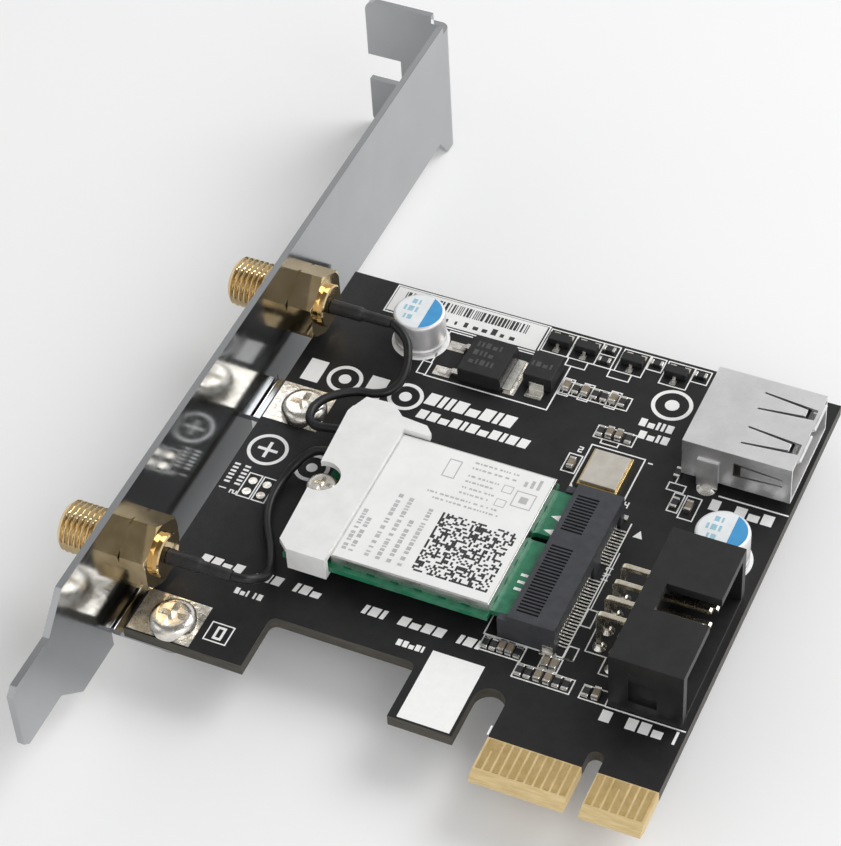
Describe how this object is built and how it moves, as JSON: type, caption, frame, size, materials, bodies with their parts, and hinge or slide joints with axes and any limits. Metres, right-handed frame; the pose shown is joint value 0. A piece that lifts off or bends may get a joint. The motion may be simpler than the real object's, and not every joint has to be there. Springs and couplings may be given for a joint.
{
  "type": "wireless network adapter card",
  "caption": "Low-profile x1 expansion card with a wireless module, threaded antenna jacks on a steel bracket, a USB-A port and a shrouded pin header",
  "frame": {"origin": "on the board's component face, at its lower edge, on the centre line of the edge connector's key notch", "axes": "+X from the bracket towards the far end of the card, +Y from the edge contacts up the card, +Z out of the component face"},
  "size_m": [0.0801, 0.12, 0.0216],
  "materials": {
    "solder_mask": "satin black solder mask over glass laminate",
    "contact_gold": "bright gold plating",
    "tinned_copper": "hot-air-levelled solder, slightly uneven",
    "bracket_steel": "bright nickel-plated steel sheet, nearly mirror",
    "plated_screw": "bright zinc or nickel plating",
    "white_nylon": "smooth natural white nylon",
    "module_laminate": "green solder mask",
    "moulding_compound": "fine matt black epoxy",
    "shield_tin": "satin tinned steel sheet",
    "label_film": "smooth white label",
    "slot_plastic": "dark grey glass-filled plastic",
    "lead_tin": "bright tin",
    "usb_steel": "satin tinned steel sheet",
    "port_plastic": "black plastic with a soft sheen",
    "pin_tin": "pale tin over brass",
    "capacitor_plastic": "black moulded plastic",
    "capacitor_aluminium": "bare drawn aluminium",
    "crystal_ceramic": "gold-plated seam on ceramic",
    "crystal_cover": "satin nickel cover",
    "resistor_glaze": "black glass glaze",
    "capacitor_ceramic": "fired tan ceramic",
    "jack_gold": "bright gold plating with brownish reflections",
    "jack_dielectric": "white fluoropolymer",
    "sleeve_plastic": "black heat-shrink sleeve",
    "coax_jacket": "smooth black cable jacket",
    "plug_gold": "pale gold plating"
  },
  "bodies": {
    "card": {"circuit_board": "solder_mask", "edge_contacts_front": "contact_gold", "edge_contacts_back": "contact_gold", "mounting_pads": "tinned_copper", "test_pads": "tinned_copper", "bracket": "bracket_steel", "upper_bracket_screw": "plated_screw", "upper_jack_body": "jack_gold", "upper_jack_insulator": "jack_dielectric", "upper_jack_pin": "contact_gold", "upper_jack_sleeve": "sleeve_plastic", "upper_pigtail": "coax_jacket", "upper_coax_plug": "plug_gold", "lower_jack_body": "jack_gold", "lower_jack_insulator": "jack_dielectric", "lower_jack_pin": "contact_gold", "lower_jack_sleeve": "sleeve_plastic", "lower_pigtail": "coax_jacket", "lower_coax_plug": "plug_gold", "antenna_clip": "white_nylon", "module_board": "module_laminate", "module_contacts": "contact_gold", "module_sockets": "contact_gold", "module_chips": "moulding_compound", "module_shield": "shield_tin", "module_label": "label_film", "standoff": "plated_screw", "slot_connector_body": "slot_plastic", "slot_connector_contacts": "lead_tin", "slot_connector_pegs": "lead_tin", "usb_shell": "usb_steel", "usb_insulator": "port_plastic", "usb_contacts": "contact_gold", "header_shroud": "port_plastic", "header_pins": "pin_tin", "supply_capacitor_base": "capacitor_plastic", "supply_capacitor_can": "capacitor_aluminium", "port_capacitor_base": "capacitor_plastic", "port_capacitor_can": "capacitor_aluminium", "capacitor_leads": "lead_tin", "regulator_body": "moulding_compound", "regulator_leads": "lead_tin", "diode_body": "moulding_compound", "diode_leads": "lead_tin", "transistor_bodies": "moulding_compound", "transistor_leads": "lead_tin", "crystal_base": "crystal_ceramic", "crystal_lid": "crystal_cover", "chip_resistors": "resistor_glaze", "chip_capacitors": "capacitor_ceramic", "chip_terminals": "lead_tin", "serial_label": "label_film", "solder_joints": "lead_tin"},
    "upper_washer": {"upper_lock_washer": "jack_gold"},
    "upper_nut": {"upper_jack_nut": "jack_gold"},
    "lower_washer": {"lower_lock_washer": "jack_gold"},
    "lower_nut": {"lower_jack_nut": "jack_gold"},
    "module_fastener": {"module_screw": "plated_screw"},
    "card_fastener": {"lower_bracket_screw": "plated_screw"}
  },
  "joints": [
    {"name": "upper_washer_slide", "type": "slide", "parent": "card", "child": "upper_washer", "axis": [-1, 0, 0], "range_m": [0, 0.003]},
    {"name": "upper_nut_turn", "type": "hinge", "parent": "upper_washer", "child": "upper_nut", "pos_m": [-0.0617, 0.0569, 0.00511], "axis": [-1, 0, 0], "range_deg": [0, 1530]},
    {"name": "lower_washer_slide", "type": "slide", "parent": "card", "child": "lower_washer", "axis": [-1, 0, 0], "range_m": [0, 0.003]},
    {"name": "lower_nut_turn", "type": "hinge", "parent": "lower_washer", "child": "lower_nut", "pos_m": [-0.0617, 0.0124, 0.00511], "axis": [-1, 0, 0], "range_deg": [0, 1530]},
    {"name": "module_screw_lift", "type": "slide", "parent": "card", "child": "module_fastener", "axis": [0, 0, 1], "range_m": [0, 0.0024]},
    {"name": "bracket_screw_lift", "type": "slide", "parent": "card", "child": "card_fastener", "axis": [0, 0, 1], "range_m": [0, 0.0036]}
  ],
  "couplings": [
    {"joint": "upper_nut_turn", "follows": "upper_washer_slide", "rad_per_m": 8905.3},
    {"joint": "lower_nut_turn", "follows": "lower_washer_slide", "rad_per_m": 8905.3}
  ]
}
